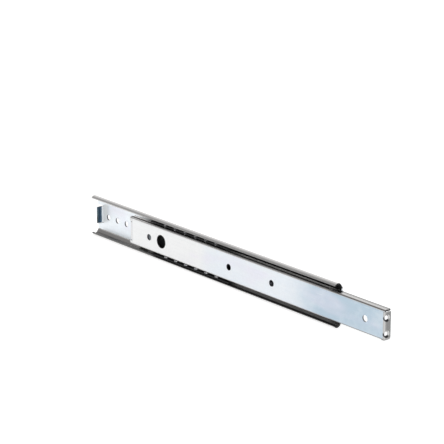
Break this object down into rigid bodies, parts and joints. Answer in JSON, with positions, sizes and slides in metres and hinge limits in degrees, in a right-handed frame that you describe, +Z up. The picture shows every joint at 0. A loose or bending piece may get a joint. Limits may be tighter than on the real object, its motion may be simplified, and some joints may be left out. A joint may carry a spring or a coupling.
{
  "type": "telescopic slide rail",
  "caption": "Telescopic slide rail with ball bearings: an inner rail with a drilled end flange extends from a fixed outer rail on a half-speed ball cage.",
  "frame": {"origin": "on the outer rail's flat back face, at mid length and mid height of the outer rail", "axes": "+X along the slide, the way it extends; +Y out of the back face into the cabinet wall; +Z up"},
  "size_m": [0.357, 0.0088, 0.0352],
  "materials": {
    "zinc_sheet_outer": "bright blue zinc plate on cold rolled sheet",
    "zinc_sheet_inner": "bright blue zinc plate on cold rolled sheet",
    "cage_plastic": "satin black moulded plastic",
    "ball_steel": "polished bearing steel"
  },
  "bodies": {
    "outer": {"outer_rail": "zinc_sheet_outer"},
    "inner": {"inner_rail": "zinc_sheet_inner"},
    "cage": {"ball_cage": "cage_plastic", "upper_ball_1": "ball_steel", "upper_ball_2": "ball_steel", "upper_ball_3": "ball_steel", "upper_ball_4": "ball_steel", "upper_ball_5": "ball_steel", "upper_ball_6": "ball_steel", "lower_ball_1": "ball_steel", "lower_ball_2": "ball_steel", "lower_ball_3": "ball_steel", "lower_ball_4": "ball_steel", "lower_ball_5": "ball_steel", "lower_ball_6": "ball_steel"}
  },
  "joints": [
    {"name": "inner_slide", "type": "slide", "parent": "outer", "child": "inner", "axis": [1, 0, 0], "range_m": [-0.0481, 0.15]},
    {"name": "cage_slide", "type": "slide", "parent": "outer", "child": "cage", "axis": [1, 0, 0], "range_m": [-0.02405, 0.075]}
  ],
  "couplings": [
    {"joint": "cage_slide", "follows": "inner_slide", "ratio": 0.5}
  ]
}
